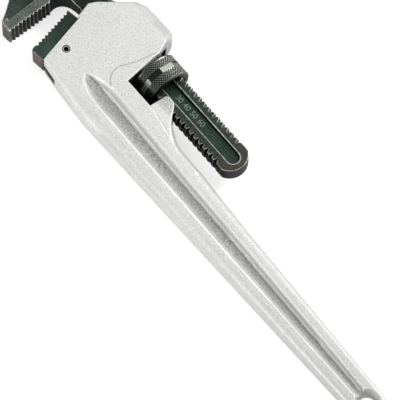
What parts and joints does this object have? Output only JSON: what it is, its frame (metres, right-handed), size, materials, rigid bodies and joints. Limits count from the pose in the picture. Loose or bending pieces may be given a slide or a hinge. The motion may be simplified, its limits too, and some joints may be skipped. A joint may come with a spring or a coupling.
{
  "type": "pipe wrench",
  "caption": "Straight adjustable pipe wrench with an aluminium handle, a sliding hook jaw, a pinned heel jaw and a knurled adjusting nut",
  "frame": {"origin": "centre of the hanging hole, on the mid-plane of the handle", "axes": "+X along the handle to the jaws, +Y to the mouth side of the head, +Z out of one broad face"},
  "size_m": [0.5254, 0.1136, 0.0448],
  "materials": {
    "handle_casting": "fine cast satin",
    "jaw_steel": "black oxide, satin",
    "nut_steel": "black oxide, satin",
    "pin_steel": "dark satin",
    "spring_steel": "bright satin"
  },
  "bodies": {
    "body": {"handle": "handle_casting", "heel_jaw": "jaw_steel", "heel_jaw_pin": "pin_steel", "flat_spring": "spring_steel", "flat_spring_rivet": "pin_steel"},
    "rocker": {"coil_spring": "spring_steel"},
    "jaw": {"hook_jaw": "jaw_steel"},
    "nut": {"adjusting_nut": "nut_steel"}
  },
  "joints": [
    {"name": "jaw_rock", "type": "hinge", "parent": "body", "child": "rocker", "pos_m": [0.363, -0.0554, 0], "axis": [0, 0, 1], "range_deg": [0, 3], "deforming": ["coil_spring"]},
    {"name": "jaw_slide", "type": "slide", "parent": "rocker", "child": "jaw", "axis": [1, 0, 0], "range_m": [-0.009, 0.062]},
    {"name": "nut_spin", "type": "hinge", "parent": "rocker", "child": "nut", "pos_m": [0.349, -0.0554, 0], "axis": [1, 0, 0], "range_deg": [-3520, 520]}
  ],
  "couplings": [
    {"joint": "nut_spin", "follows": "jaw_slide", "rad_per_m": -989.48}
  ]
}
